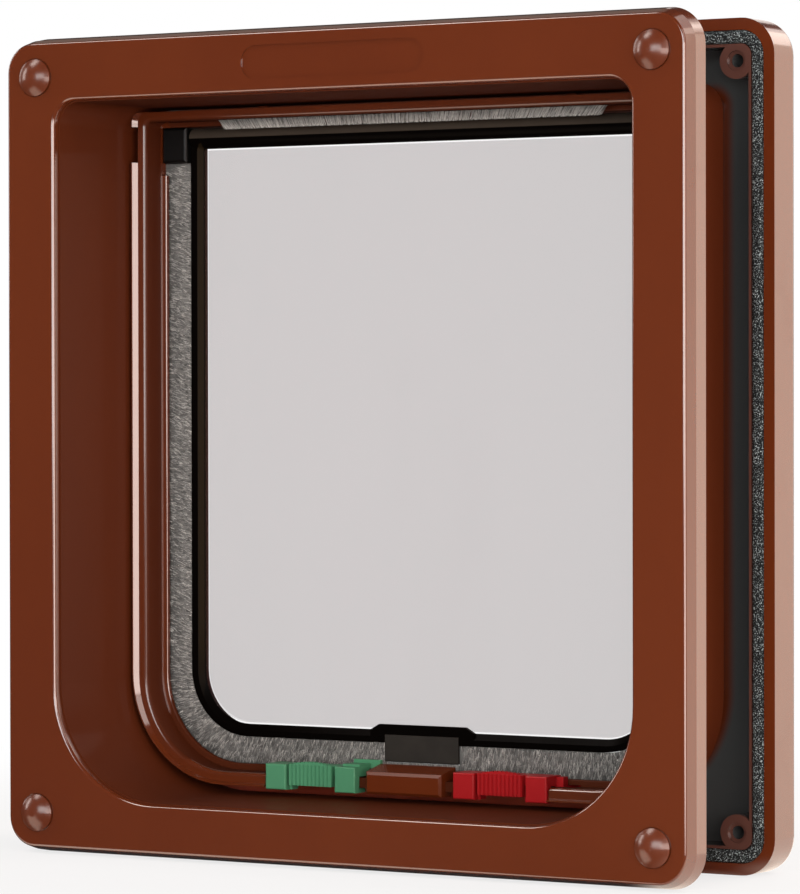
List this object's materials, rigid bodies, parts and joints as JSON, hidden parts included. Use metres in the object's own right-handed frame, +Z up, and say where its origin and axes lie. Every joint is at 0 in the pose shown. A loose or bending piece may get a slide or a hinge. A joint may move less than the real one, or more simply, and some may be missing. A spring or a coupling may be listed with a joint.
{
  "type": "cat flap",
  "caption": "Two-way cat flap: a clear pane swings between pile seals, sliding locks on the sill block it each way, and a telescopic liner joins the two door frames.",
  "frame": {"origin": "on the plane that the part stands on, under the middle of its width and depth", "axes": "+X to the right and +Y through the door towards the weather side, as seen from the room, +Z up"},
  "size_m": [0.2188, 0.0636, 0.229],
  "materials": {
    "frame_plastic": "gloss brown moulding",
    "foam": "open-cell charcoal foam with pale specks",
    "pile": "grey cut pile",
    "flap_border": "near-black gloss moulding",
    "clear_pane": "clear, slightly smoked",
    "holder_plastic": "dark grey moulding",
    "pivot_plastic": "black moulding",
    "pin_steel": "drawn steel",
    "magnet": "sintered ferrite",
    "green_plastic": "green moulding",
    "red_plastic": "red moulding"
  },
  "bodies": {
    "exterior_half": {"exterior_frame": "frame_plastic", "foam_seal": "foam", "pile_left": "pile", "pile_right": "pile", "pile_top": "pile", "pivot_block_left": "pivot_plastic", "pivot_block_right": "pivot_plastic", "catch_block": "frame_plastic", "sill_magnet": "magnet"},
    "interior_half": {"interior_frame": "frame_plastic", "screw_caps": "frame_plastic"},
    "flap": {"flap_frame": "flap_border", "flap_pane": "clear_pane", "magnet_holder": "holder_plastic", "flap_magnet": "magnet", "hinge_pin_left": "pin_steel", "hinge_pin_right": "pin_steel"},
    "green_slide": {"green_lock_slide": "green_plastic"},
    "red_slide": {"red_lock_slide": "red_plastic"}
  },
  "joints": [
    {"name": "flap_hinge", "type": "hinge", "parent": "exterior_half", "child": "flap", "pos_m": [0, 0.0195, 0.202], "axis": [1, 0, 0], "range_deg": [-80, 80]},
    {"name": "green_lock", "type": "slide", "parent": "exterior_half", "child": "green_slide", "axis": [1, 0, 0], "range_m": [0, 0.0028]},
    {"name": "red_lock", "type": "slide", "parent": "exterior_half", "child": "red_slide", "axis": [-1, 0, 0], "range_m": [0, 0.0028]},
    {"name": "liner_slide", "type": "slide", "parent": "exterior_half", "child": "interior_half", "axis": [0, -1, 0], "range_m": [-0.008, 0.008]}
  ]
}
